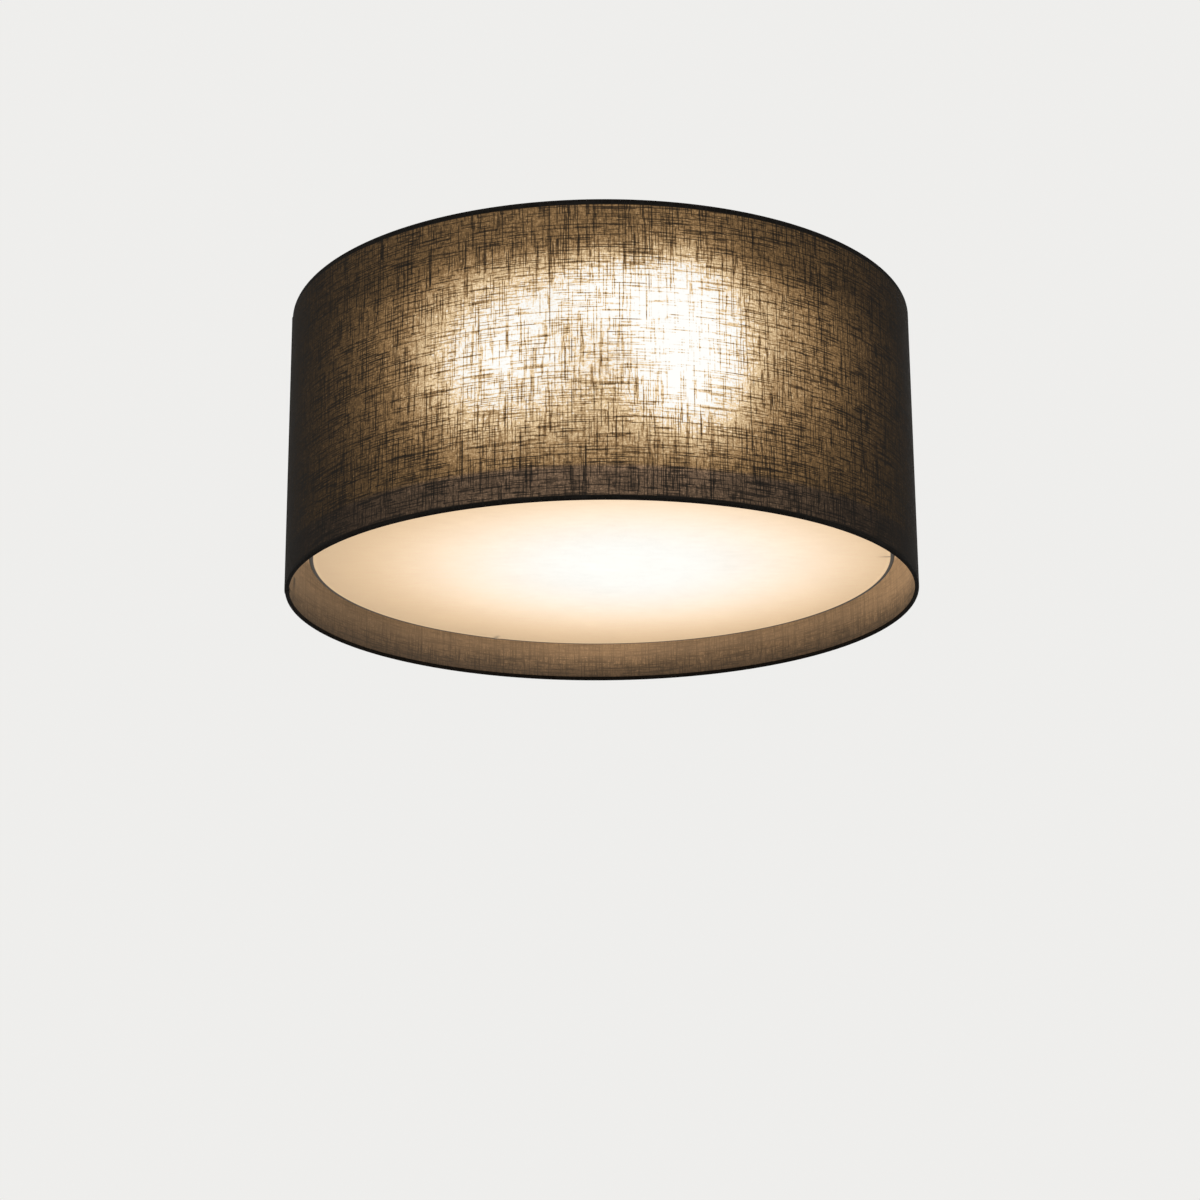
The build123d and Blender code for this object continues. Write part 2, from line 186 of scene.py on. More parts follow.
class Value:
    """A number on its way through a finish; Python's operators add the Math nodes."""

    def __init__(self, finish, socket):
        self.finish, self.socket = finish, socket

    def math(self, operation, *others):
        sockets = dict(enumerate((self, *others)))
        return self.finish.node("ShaderNodeMath", {"operation": operation}, sockets)

    def __add__(self, other):
        return self.math("ADD", other)

    def __mul__(self, other):
        return self.math("MULTIPLY", other)

    def __sub__(self, other):
        return self.math("SUBTRACT", other)

    def __truediv__(self, other):
        return self.math("DIVIDE", other)

    def __rsub__(self, other):
        return self.finish.node("ShaderNodeMath", {"operation": "SUBTRACT"}, {0: other, 1: self})

    def __rpow__(self, other):
        return self.finish.node("ShaderNodeMath", {"operation": "POWER"}, {0: other, 1: self})

    __radd__, __rmul__ = __add__, __mul__


class Finish:
    """One procedural material. Plain numbers and colours go straight on the shader's sockets."""

    def __init__(self, name, **plain):
        self.material = bpy.data.materials.new(name)
        self.material.use_nodes = True
        self.tree = self.material.node_tree
        self.shader = self.tree.nodes["Principled BSDF"]
        for socket, value in plain.items():
            self.shader.inputs[socket.replace("_", " ")].default_value = value
        self.place = self.node("ShaderNodeTexCoord", {}, {}, "Object")

    def node(self, kind, settings, sockets, out=0):
        """Adds a node: its settings first, then its sockets' values and links."""
        made = self.tree.nodes.new(kind)
        for setting, value in settings.items():
            setattr(made, setting, value)
        for socket, value in sockets.items():
            if isinstance(value, Value):
                self.tree.links.new(value.socket, made.inputs[socket])
            else:
                made.inputs[socket].default_value = value
        return Value(self, made.outputs[out])

    def feed(self, **values):
        for socket, value in values.items():
            self.tree.links.new(value.socket, self.shader.inputs[socket.replace("_", " ")])

    def across(self):
        """The place on the piece along X, Y and Z, in metres."""
        return [self.node("ShaderNodeSeparateXYZ", {}, {0: self.place}, axis) for axis in range(3)]

    def noise(self, size, detail=2.0, shift=0.0):
        """Noise whose patches measure size along X, Y and Z, in millimetres."""
        size = size if isinstance(size, tuple) else (size, size, size)
        scaled = self.node("ShaderNodeVectorMath", {"operation": "MULTIPLY_ADD"},
                           {0: self.place, 1: tuple(1000 / s for s in size), 2: (shift,) * 3})
        return self.node("ShaderNodeTexNoise", {}, {"Vector": scaled, "Scale": 1.0, "Detail": detail})

    def step(self, value, low, high):
        """0 below low and 1 above high, with a soft rise between them."""
        return self.node("ShaderNodeMapRange", {"interpolation_type": "SMOOTHSTEP"},
                         {0: value, 1: low, 2: high})

    def mix(self, factor, a, b):
        """From colour a at 0 to colour b at 1."""
        return self.node("ShaderNodeMix", {"data_type": "RGBA"}, {0: factor, 6: a, 7: b}, 2)

    def tinted(self, colour, strength):
        """A colour made brighter or darker by a value."""
        return self.node("ShaderNodeVectorMath", {"operation": "SCALE"}, {0: colour, "Scale": strength})

    def bump(self, height, depth):
        """Relief, depth millimetres deep."""
        return self.node("ShaderNodeBump", {}, {"Height": height, "Distance": depth / 1000, "Strength": 1.0})


def grained(name, tone, second, roughness, patch, grain, depth, **plain):
    """A hard surface: cloudy patches between two tones, and a fine grain in gloss and relief."""
    finish = Finish(name, **plain)
    cloud, fine = finish.noise(patch, 4.0), finish.noise(grain, 3.0, 5.0)
    finish.feed(
        Base_Color=finish.mix(finish.step(cloud, 0.3, 0.7), (*tone, 1), (*second, 1)),
        Roughness=roughness * (0.6 + 0.8 * fine),
        Normal=finish.bump(fine, depth),
    )
    return finish


def piece(name, mesh, finish, body="root", replaces=(), place=Matrix()):
    """Puts a shape in millimetres into the scene, in metres, riding on its body."""
    shown = mesh.copy()
    shown.transform(Matrix.Scale(0.001, 4))
    shown.name = name
    shown.shade_smooth()
    shown.set_sharp_from_angle(angle=radians(35))
    shown.materials.clear()
    shown.materials.append(finish.material)
    thing = bpy.data.objects.new(name, shown)
    bpy.context.scene.collection.objects.link(thing)
    thing.matrix_world = Matrix.Translation(place.translation * 0.001) @ place.to_3x3().to_4x4()
    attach(thing, body)
    if replaces:
        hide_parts(*replaces)
    return thing


zinc = grained("zinc_plate", (0.60, 0.62, 0.64), (0.70, 0.70, 0.68),
               roughness=0.34, patch=9, grain=(0.5, 3, 0.5), depth=0.012, Metallic=1.0)
leg_x, crown_z = (HAT_SPAN - HAT_T) / 2, -HAT_T / 2
foot_x, foot_z = HAT_LENGTH / 2, CANOPY_T + HAT_T / 2 - CANOPY_DEPTH
hat = rounded([(-foot_x, foot_z), (-leg_x, foot_z), (-leg_x, crown_z),
               (leg_x, crown_z), (leg_x, foot_z), (foot_x, foot_z)], HAT_BEND_R, closed=False)
slot_outline = oblong(CEILING_SLOT_L, CEILING_SLOT_W, CEILING_SLOT_W / 2 - 0.01)
holes = [disc(STEM_R + FIT, -HAT_T - CUT, CUT)]
for side in (-1, 1):
    slot = prism(slot_outline, -HAT_T - CUT, CUT)
    holes.append(moved(slot, Matrix.Translation((CEILING_SLOT_X * side, 0, 0))))
    tapped = disc(SCREW_R + FIT, foot_z - HAT_T, foot_z + HAT_T)
    holes.append(moved(tapped, Matrix.Translation((SCREW_X * side, 0, 0))))
bracket = eased(combined(bent_strip(hat, HAT_W, HAT_T, HAT_END_R), holes), 0.25)
piece("bracket_hat", bracket, zinc, replaces=["ceiling_bracket"])


# ---- Stem and its nuts ----
# A steel tube with a fine thread from end to end, which carries everything. A nut under the
# bracket, one under the canopy and one under the lampholder strip clamp the stack together.

STEM_TOP, STEM_END, STEM_BORE_R = -0.5, -108.0, 3.9
THREAD_DEPTH, THREAD_PITCH = 0.45, 1.0
NUT_FLATS, NUT_T, NUT_BORE_R = 14.0, 4.0, 4.8
LEAD_Z, HOLDER_Z = -16.2, -50.0         # the leads enter the stem here, and leave it there
WINDOW_H, LEAD_WINDOW_W, CROSS_WINDOW_W = 8.0, 7.2, 4.0
HUB_TOP, HUB_LOW, STRIP_T = -28.0, -30.0, 1.5
AROUND = Matrix.Rotation(radians(-20), 4, "Z")      # the bulbs lie along this turned X axis


def turned(profile, steps=96, closed=True):
    """(radius, height) points turned round Z; a function of the angle gives threads and flutes."""
    angles = [2 * pi * k / steps for k in range(steps)]
    rings = [profile(a) if callable(profile) else profile for a in angles]
    count = len(rings[0])
    points, place = [], {}
    for k, (a, ring) in enumerate(zip(angles, rings)):
        for i, (r, z) in enumerate(ring):
            if r < 1e-6 and k:
                place[k, i] = place[0, i]
            else:
                place[k, i] = len(points)
                points.append((r * cos(a), r * sin(a), z))
    faces = []
    for k in range(steps):
        for i in range(count if closed else count - 1):
            j, m = (i + 1) % count, (k + 1) % steps
            corners = dict.fromkeys((place[k, i], place[m, i], place[m, j], place[k, j]))
            if len(corners) > 2:
                faces.append(tuple(corners))
    return mesh_of(points, faces)


def threaded(major, depth, pitch, low, high, bore, rows=4):
    """A tube with a right-hand V thread outside, tapered off at both ends."""
    count = round((high - low) / pitch * rows)
    heights = [low + (high - low) * k / count for k in range(count + 1)]

    def profile(angle):
        line = []
        for z in heights:
            phase = (z / pitch - angle / (2 * pi)) % 1
            lead_in = min(1.0, (z - low) / pitch, (high - z) / pitch)
            line.append((major - depth * (1 - lead_in * abs(2 * phase - 1)), z))
        return line + [(bore, high), (bore, low)]
    return profile


def hex_nut(low, high, edge=0.4):
    """Six flats, their corners cut back by the 30 degree chamfers above and below."""
    def profile(angle):
        reach = NUT_FLATS / 2 / cos((angle + pi / 6) % (pi / 3) - pi / 6)
        inner = NUT_FLATS * 0.475
        drop = (reach - inner) * 0.577
        return [(NUT_BORE_R, low + edge), (NUT_BORE_R + edge, low), (inner, low), (reach, low + drop),
                (reach, high - drop), (inner, high), (NUT_BORE_R + edge, high), (NUT_BORE_R, high - edge)]
    return turned(profile, 72)


stem = turned(threaded(STEM_R, THREAD_DEPTH, THREAD_PITCH, STEM_END, STEM_TOP, STEM_BORE_R), 40)
windows = [(LEAD_Z, oblong(LEAD_WINDOW_W, 8, at=(0, -4))), (HOLDER_Z, oblong(16, CROSS_WINDOW_W))]
for z, outline in windows:
    window = moved(prism(outline, z - WINDOW_H / 2, z + WINDOW_H / 2), AROUND)
    stem = combined(stem, [window])
piece("threaded_stem", stem, zinc, replaces=["stem"])
for number, top in enumerate((-HAT_T, -CANOPY_DEPTH, HUB_LOW - STRIP_T), 1):
    piece(f"stem_nut_{number}", hex_nut(top - NUT_T, top), zinc, replaces=["stem_nuts"])


# ---- Canopy ----
# A shallow steel pan, pressed with a rolled corner and one stiffening groove, then stoved white.
# It hides the bracket and the wiring, and its edge lies on the ceiling.

CANOPY_R, CANOPY_HOLE_R, CANOPY_CORNER_R, LIP_R = 95.0, 5.1, 5.0, 0.3
GROOVE_R, GROOVE_HALF, GROOVE_DEPTH, GROOVE_BEND_R = 75.0, 3.0, 1.2, 2.0

enamel = grained("white_enamel", (0.80, 0.79, 0.77), (0.76, 0.75, 0.73),
                 roughness=0.28, patch=60, grain=1.6, depth=0.02, Coat_Weight=0.3)
pan_low = -CANOPY_DEPTH
pan_floor = pan_low + CANOPY_T
wide = GROOVE_HALF + 0.2
pan = rounded(
    [(CANOPY_HOLE_R, pan_low), (GROOVE_R - GROOVE_HALF, pan_low), (GROOVE_R, pan_low + GROOVE_DEPTH),
     (GROOVE_R + GROOVE_HALF, pan_low), (CANOPY_R, pan_low), (CANOPY_R, 0), (CANOPY_R - CANOPY_T, 0),
     (CANOPY_R - CANOPY_T, pan_floor), (GROOVE_R + wide, pan_floor), (GROOVE_R, pan_floor + GROOVE_DEPTH),
     (GROOVE_R - wide, pan_floor), (CANOPY_HOLE_R, pan_floor)],
    [0, GROOVE_BEND_R, GROOVE_BEND_R, GROOVE_BEND_R, CANOPY_CORNER_R, LIP_R, LIP_R,
     CANOPY_CORNER_R - CANOPY_T, GROOVE_BEND_R, GROOVE_BEND_R, GROOVE_BEND_R, 0])
piece("canopy_pan", turned(pan, 160), enamel, replaces=["canopy"])


# ---- Canopy screws ----
# Two M4 pan-head screws, slotted, zinc plated; they go up through the pan into the bracket's feet.

SCREW_L, SCREW_THREAD_DEPTH, SCREW_PITCH = 8.0, 0.25, 0.7
SCREW_HEAD_R, SCREW_HEAD_H, SCREW_SLOT_W, SCREW_SLOT_DEPTH = 3.8, 2.4, 1.0, 1.1
SIDES = ((1, 1), (2, -1))               # a pair's numbers, and the side that each lies on

seat = -CANOPY_DEPTH
crown = seat - SCREW_HEAD_H
head = rounded([(0, crown), (SCREW_HEAD_R, crown), (SCREW_HEAD_R, seat), (SCREW_R, seat)],
               [0, 1.9, 0.2, 0.1]) + [Vector((0, seat))]
shank = threaded(SCREW_R, SCREW_THREAD_DEPTH, SCREW_PITCH, seat - 0.2, seat + SCREW_L, 0.0)
for number, side in SIDES:
    screw = combined(turned(head, 40, closed=False), [turned(shank, 24)], "UNION")
    screw = combined(screw, [prism(oblong(10, SCREW_SLOT_W), crown - CUT, crown + SCREW_SLOT_DEPTH)])
    place = Matrix.Translation((SCREW_X * side, 0, 0)) @ Matrix.Rotation(radians(31 * side), 4, "Z")
    piece(f"pan_screw_{number}", moved(screw, place), zinc, replaces=["canopy_screws"])


# ---- Terminal block ----
# Two poles of a moulded nylon strip connector, held in the pan beside the stem. The lamp's two
# leads enter on the stem's side, and the supply's two wires enter on the other.

BLOCK_W, BLOCK_L, BLOCK_Y, BLOCK_H, BLOCK_FOOT_H = 32.0, 20.0, -40.0, 15.0, 8.7
POLE_X, POLE_W, POLE_L, POLE_BORE_R = 5.0, 8.8, 13.0, 1.8
CLAMP_Y, CLAMP_R, CLAMP_WELL_R, CLAMP_TOP = -36.67, 2.0, 2.3, -5.7
FIXING_X, FIXING_R, POLE_GAP = 13.0, 1.7, 1.2

nylon = grained("natural_nylon", (0.74, 0.73, 0.68), (0.80, 0.79, 0.75),
                roughness=0.45, patch=7, grain=0.5, depth=0.02, Subsurface_Weight=0.1)
foot_top, block_top = pan_floor + BLOCK_FOOT_H, pan_floor + BLOCK_H
past_top = block_top + 1.2              # where the tools that cut the block end
foot = prism(oblong(BLOCK_W, BLOCK_L, 2.0, (0, BLOCK_Y)), pan_floor, foot_top)
poles, holes = [], []
for x in (-POLE_X, POLE_X):
    poles.append(prism(oblong(POLE_W, POLE_L, 1.5, (x, BLOCK_Y)), foot_top - 0.5, block_top))
    across = Matrix.Translation((x, BLOCK_Y, LEAD_Z)) @ Matrix.Rotation(pi / 2, 4, "X")
    holes.append(moved(disc(POLE_BORE_R, -BLOCK_L - CUT, BLOCK_L + CUT, 24), across))
    well = disc(CLAMP_WELL_R, -14, past_top, 24)
    holes.append(moved(well, Matrix.Translation((x, CLAMP_Y, 0))))
holes.append(prism(oblong(POLE_GAP, BLOCK_L + 4, at=(0, BLOCK_Y)), -17, past_top))
for x in (-FIXING_X, FIXING_X):
    fixing = disc(FIXING_R, pan_floor - 1.8, past_top, 24)
    holes.append(moved(fixing, Matrix.Translation((x, BLOCK_Y, 0))))
block = eased(combined(combined(foot, poles, "UNION"), holes), 0.35)
piece("connector_block", moved(block, AROUND), nylon, replaces=["terminal_block"])
clamp = rounded([(0, -12.5), (CLAMP_R, -12.5), (CLAMP_R, CLAMP_TOP), (0, CLAMP_TOP)], [0, 0.1, 0.4, 0])
clamp_slot = prism(oblong(6, 0.8), CLAMP_TOP - 1.0, CLAMP_TOP + 0.7)
clamp = combined(turned(clamp, 32, closed=False), [clamp_slot])
for number, x in ((1, -POLE_X), (2, POLE_X)):
    turn = Matrix.Rotation(radians(20 + 50 * number), 4, "Z")
    place = AROUND @ Matrix.Translation((x, CLAMP_Y, 0)) @ turn
    piece(f"clamp_screw_{number}", moved(clamp.copy(), place), zinc,
          replaces=["terminal_screws"])


# ---- Leads ----
# Two short flexible wires, white sheathed. Each runs from its pole into the stem's slot, down the
# bore, and out through the cross hole and the nipple to the back of a lampholder.

LEAD_R, LEAD_OFFSET, LEAD_END_X = 1.4, 1.8, 24.8


def wire(path, radius, sides=16):
    """A round bar along a 3-D line, with domed ends."""
    ends = []
    for tip, inner in ((path[0], path[1]), (path[-1], path[-2])):
        out = (tip - inner).normalized()
        ends.append([(tip + out * radius * 0.5 * sin(a), radius * cos(a)) for a in (pi / 5, pi / 2.6)])
    line = list(reversed(ends[0])) + [(p, radius) for p in path] + ends[1]
    along_y = abs((path[1] - path[0]).normalized().y) > 0.9
    across = Vector((0, 0, 1)) if along_y else Vector((0, 1, 0))
    points = []
    for k, (centre, reach) in enumerate(line):
        along = (line[min(k + 1, len(line) - 1)][0] - line[max(k - 1, 0)][0]).normalized()
        across = (across - along * across.dot(along)).normalized()
        other = along.cross(across)
        for a in (2 * pi * s / sides for s in range(sides)):
            points.append(centre + (across * cos(a) + other * sin(a)) * reach)
    faces = [tuple(range(sides)), tuple(range(len(points) - sides, len(points)))]
    for k in range(0, len(points) - sides, sides):
        faces += [(k + s, k + (s + 1) % sides, k + sides + (s + 1) % sides, k + sides + s)
                  for s in range(sides)]
    return mesh_of(points, faces)


sheath = grained("white_sheath", (0.78, 0.77, 0.74), (0.72, 0.71, 0.68),
                 roughness=0.5, patch=6, grain=0.6, depth=0.02)
for number, side in SIDES:
    pole, bore = POLE_X * side, LEAD_OFFSET * side
    route = rounded([(pole, -33, LEAD_Z), (pole, -26, LEAD_Z), (bore, -12, LEAD_Z), (bore, 0, LEAD_Z),
                     (bore, 0, HOLDER_Z), (LEAD_END_X * side, 0, HOLDER_Z)],
                    [0, 6, 6, 3.2, 2.6, 0], closed=False, steps=8)
    piece(f"flex_{number}", moved(wire(route, LEAD_R), AROUND), sheath,
          replaces=[f"lead_{number}"])


# ---- Lampholder strip, nipples and nuts ----
# A 1.5 mm plated strip with an ear bent down at each end, clamped between the shade's hub and
# a nut. A short threaded nipple through each ear, with a nut inside, holds one lampholder.

STRIP_W, STRIP_BEND_R, STRIP_END_R = 20.0, 2.2, 9.5
EAR_R, EAR_DROP = 22.0, 12.0            # the ears' outer faces from the stem, and below the bulbs
NIPPLE_IN, NIPPLE_OUT, NIPPLE_BORE_R = -7.0, 6.0, 3.5


def on_ear(side):
    """The place of a part built along +Z from the outer face of an ear."""
    c, s = cos(radians(-20)) * side, sin(radians(-20)) * side
    return Matrix(((-s, 0, c, EAR_R * c), (c, 0, s, EAR_R * s), (0, 1, 0, HOLDER_Z), (0, 0, 0, 1)))


ear_x, strip_z, ear_end = EAR_R - STRIP_T / 2, HUB_LOW - STRIP_T / 2, HOLDER_Z - EAR_DROP
ears = rounded([(-ear_x, ear_end), (-ear_x, strip_z), (ear_x, strip_z), (ear_x, ear_end)],
               STRIP_BEND_R, closed=False)
strip = moved(bent_strip(ears, STRIP_W, STRIP_T, STRIP_END_R), AROUND)
holes = [disc(STEM_R + FIT, strip_z - STRIP_T, strip_z + STRIP_T)]
holes += [moved(disc(STEM_R + FIT, -STRIP_T - CUT, CUT), on_ear(side)) for side in (1, -1)]
piece("holder_strip", eased(combined(strip, holes), 0.2), zinc,
      replaces=["holder_bracket"])
nipple = threaded(STEM_R, THREAD_DEPTH, THREAD_PITCH, NIPPLE_IN, NIPPLE_OUT, NIPPLE_BORE_R)
for number, side in SIDES:
    piece(f"nipple_{number}", turned(nipple, 40), zinc,
          replaces=["holder_nipples"], place=on_ear(side))
    piece(f"ear_nut_{number}", hex_nut(-STRIP_T - NUT_T, -STRIP_T), zinc,
          replaces=["holder_nuts"], place=on_ear(side))


# ---- Lampholders ----
# Black phenolic mouldings: a tapered cap screwed on the nipple and a fluted sleeve screwed to it.
# Inside are a rolled brass screw shell and a sprung brass blade for the bulb's tip.

BACK_R, CAP_TAPER, CAP_H, CAP_FLOOR = 13.9, 8.0, 15.0, 3.0
SLEEVE_R, SLEEVE_END, SLEEVE_FLOOR, SLEEVE_BORE_R = 19.5, 46.0, 17.0, 14.4
SHELL_R, SHELL_END, SHELL_T, SHELL_WAVE = 14.2, 40.0, 0.4, 0.8
CAP_THREAD_PITCH = 3.63                 # the rolled thread of a 27 mm screw cap
BLADE_W, BLADE_T, BLADE_X, BLADE_TOP = 6.0, 0.5, 6.0, 19.1

phenolic = grained("black_phenolic", (0.012, 0.012, 0.013), (0.022, 0.020, 0.019),
                   roughness=0.30, patch=8, grain=0.7, depth=0.015)
brass = grained("bright_brass", (0.83, 0.60, 0.27), (0.74, 0.50, 0.20),
                roughness=0.24, patch=5, grain=(0.3, 0.3, 2.5), depth=0.008, Metallic=1.0)


def fluted(line, radius, deep, count, low, high):
    """Shallow flutes cut in a turned shape between two heights; line is its plain profile."""
    def profile(angle):
        wave = deep * (0.5 - 0.5 * cos(count * angle))
        return [(r - (wave if r > radius - 0.6 and low < z < high else 0.0), z) for r, z in line]
    return profile


def rolled(radius, low, high, wall, lift, rows=10):
    """A thin shell with the rounded thread of a bulb cap rolled into it."""
    count = round((high - low) / CAP_THREAD_PITCH * rows)

    def profile(angle):
        line = []
        for k in range(count + 1):
            z = low + (high - low) * k / count
            fade = min(1.0, (z - low) / 2, (high - z) / 2)
            wave = fade * cos(2 * pi * (z / CAP_THREAD_PITCH - angle / (2 * pi)))
            line.append((radius - lift * (1 - wave) / 2, z))
        return line + [(r - wall, z) for r, z in reversed(line)]
    return profile


cap_line = rounded(
    [(STEM_R, 0), (BACK_R, 0), (SLEEVE_R, CAP_TAPER), (SLEEVE_R, CAP_H), (SLEEVE_R - 3.5, CAP_H),
     (12, CAP_FLOOR), (STEM_R, CAP_FLOOR)], [0, 1.5, 2, 0.5, 0.3, 1, 0])
sleeve_line = rounded(
    [(16, CAP_H), (19.4, CAP_H), (19.4, 17.4), (18.9, 18), (18.9, 18.2), (SLEEVE_R, 18.8),
     (SLEEVE_R, SLEEVE_END - 2.6), (19.0, SLEEVE_END - 2), (19.0, SLEEVE_END),
     (SLEEVE_BORE_R, SLEEVE_END), (SLEEVE_BORE_R, SLEEVE_FLOOR), (3, SLEEVE_FLOOR), (3, CAP_H)],
    [0, 0.3, 0.1, 0.1, 0.1, 0.3, 0.4, 0.2, 0.8, 0.5, 0.5, 0, 0])
blade_foot = SLEEVE_FLOOR + BLADE_T / 2
blade = rounded([(-BLADE_X, blade_foot), (-2.4, BLADE_TOP), (2.4, BLADE_TOP), (BLADE_X, blade_foot)],
                1.0, closed=False)
cap_shape = fluted(cap_line, SLEEVE_R, deep=0.7, count=12, low=9.5, high=14.2)
sleeve_shape = fluted(sleeve_line, SLEEVE_R, deep=0.8, count=36, low=19.2, high=43)
shell_shape = rolled(SHELL_R, SLEEVE_FLOOR, SHELL_END, SHELL_T, SHELL_WAVE)
for number, side in SIDES:
    place = on_ear(side)
    piece(f"holder_cap_{number}", turned(cap_shape, 144), phenolic,
          replaces=[f"lampholder_cap_{number}"], place=place)
    piece(f"holder_sleeve_{number}", turned(sleeve_shape, 216), phenolic,
          replaces=[f"lampholder_body_{number}"], place=place)
    piece(f"screw_shell_{number}", turned(shell_shape, 96), brass,
          replaces=[f"lampholder_shell_{number}"], place=place)
    piece(f"contact_blade_{number}", eased(bent_strip(blade, BLADE_W, BLADE_T, 1.2), 0.1), brass,
          replaces=[f"lampholder_contact_{number}"], place=place)


# ---- Bulbs ----
# Two lit screw-cap bulbs: a brass tip on a black glass insulator, a nickel-plated threaded cap,
# a white housing and an opal globe. The tip carries the travel; the rest screws out with it.

TIP_LOW, TIP_TOP, TIP_R = 19.9, 21.35, 4.7
GLASS_LOW, GLASS_TOP, GLASS_R = 21.4, 26.0, 11.6
BULB_CAP_R, BULB_CAP_LOW, BULB_CAP_TOP, BULB_CAP_T, BULB_CAP_WAVE = 13.05, 25.4, 45.9, 0.5, 1.3
HOUSING_LOW, HOUSING_TOP, HOUSING_R = 44.6, 58.4, 19.0
GLOBE_R, GLOBE_MIDDLE, GLOBE_SEAT = 22.5, 75.4, 57.4

nickel = grained("nickel_plate", (0.66, 0.64, 0.60), (0.58, 0.56, 0.52),
                 roughness=0.20, patch=7, grain=(0.4, 2.0, 0.4), depth=0.006, Metallic=1.0)
housing_white = grained("bulb_white", (0.80, 0.80, 0.78), (0.76, 0.76, 0.73),
                        roughness=0.35, patch=10, grain=0.8, depth=0.01)
insulator = grained("black_glass", (0.010, 0.010, 0.014), (0.02, 0.02, 0.03),
                    roughness=0.10, patch=3, grain=0.6, depth=0.02)
opal = Finish("lit_opal", Roughness=0.32, Emission_Strength=1.0)
height = opal.across()[2] * 1000
speck = opal.noise(1.5, 3.0)
lit_from_base = opal.step(height, 58, 84)
opal.feed(
    Base_Color=opal.mix(speck, (0.60, 0.57, 0.51, 1), (0.64, 0.61, 0.55, 1)),
    Emission_Color=opal.mix(lit_from_base, (0.24, 0.18, 0.11, 1), (0.47, 0.43, 0.34, 1)),
    Normal=opal.bump(speck, 0.01),
)

tip_line = rounded([(0, TIP_LOW), (3.4, TIP_LOW), (TIP_R, 20.8), (TIP_R, TIP_TOP), (0, TIP_TOP)],
                   [0, 1.2, 0.3, 0.15, 0])
glass_line = rounded([(0, GLASS_LOW), (4.2, GLASS_LOW), (5.6, 21.9), (GLASS_R, 24.9),
                      (GLASS_R, GLASS_TOP), (0, GLASS_TOP)], [0, 0.4, 0.5, 0.5, 0.2, 0])
crimp_line = rounded([(10.6, 24.6), (GLASS_R, 24.4), (12.6, 25.6), (12.6, 26.4), (10.6, 26.4)],
                     [0, 0.3, 0.4, 0, 0])
thread_shape = rolled(BULB_CAP_R, BULB_CAP_LOW, BULB_CAP_TOP, BULB_CAP_T, BULB_CAP_WAVE)
housing_line = rounded([(12.0, HOUSING_LOW), (13.4, HOUSING_LOW), (14.25, 46.2), (15.0, 49),
                        (HOUSING_R, 57.2), (HOUSING_R, HOUSING_TOP), (12, HOUSING_TOP)],
                       [0, 0.4, 0.8, 3, 1.2, 0.3, 0])
ball = [(GLOBE_R * cos(radians(a)), GLOBE_MIDDLE + GLOBE_R * sin(radians(a))) for a in range(-48, 90, 3)]
globe_line = [(0.0, GLOBE_SEAT), (18.4, GLOBE_SEAT), (18.4, GLOBE_SEAT + 0.6)]
globe_line += [(r, z) for r, z in ball if z > 59.0] + [(0.0, GLOBE_MIDDLE + GLOBE_R)]
for number, side in SIDES:
    place, body = on_ear(side), f"bulb_{number}"
    piece(f"bulb_tip_{number}", turned(tip_line, 48, closed=False), brass,
          f"bulb_{number}_tip", [f"bulb_contact_{number}"], place)
    piece(f"bulb_insulator_{number}", turned(glass_line, 48, closed=False), insulator,
          body, place=place)
    piece(f"bulb_crimp_{number}", turned(crimp_line, 64), nickel, body, place=place)
    piece(f"bulb_thread_{number}", turned(thread_shape, 96), nickel, body,
          [f"bulb_cap_{number}"], place)
    piece(f"bulb_body_{number}", turned(housing_line, 72), housing_white, body,
          [f"bulb_housing_{number}"], place)
    piece(f"bulb_ball_{number}", turned(globe_line, 72, closed=False), opal, body,
          [f"bulb_globe_{number}"], place)


# ---- Shade frame ----
# Two rings of round 2.4 mm wire, three 3.2 mm arms and a pierced disc, welded and powder coated
# white. The disc is clamped under the canopy's nut, and the arms rise to the top ring.

RING_R, RING_BAR_R, TOP_RING_Z, LOW_RING_Z = 248.35, 1.2, -5.65, -233.35
ARM_BAR_R, ARM_BEND_R, ARM_RISE_R, ARM_FLAT_R = 1.6, 14.0, 109.0, 235.1
SHADE_HUB_R = 16.0

coat = grained("powder_coat", (0.80, 0.79, 0.76), (0.75, 0.74, 0.71),
               roughness=0.42, patch=14, grain=0.5, depth=0.025)


def hoop(radius, height):
    turns = [2 * pi * k / 16 for k in range(16)]
    return turned([(radius + RING_BAR_R * cos(a), height + RING_BAR_R * sin(a)) for a in turns], 384)


def bead(point, wide, high):
    """A weld bead: a small squashed ball."""
    line = [(wide * cos(radians(a)), high * sin(radians(a))) for a in range(-90, 91, 15)]
    return moved(turned(line, 20, closed=False), Matrix.Translation(point))


piece("top_hoop", hoop(RING_R, TOP_RING_Z), coat, replaces=["shade_top_ring"])
piece("bottom_hoop", hoop(RING_R, LOW_RING_Z), coat, replaces=["shade_bottom_ring"])
arm_low = HUB_TOP + ARM_BAR_R
arm_top = TOP_RING_Z - RING_BAR_R - ARM_BAR_R - FIT
arm_line = rounded([(9.1, 0, arm_low), (ARM_RISE_R, 0, arm_low), (ARM_FLAT_R, 0, arm_top),
                    (RING_R + 0.55, 0, arm_top)], ARM_BEND_R, closed=False, steps=8)
for number, azimuth in enumerate((-90, 30, 150), 1):
    welds = [bead((14.5, 0, HUB_TOP + 0.4), 2.6, 1.3), bead((RING_R - 1.15, 0, arm_top + 1.1), 1.9, 1.6)]
    arm = combined(wire(arm_line, ARM_BAR_R, 20), welds, "UNION")
    piece(f"spider_arm_{number}", moved(arm, Matrix.Rotation(radians(azimuth), 4, "Z")), coat,
          replaces=[f"shade_arm_{number}"])
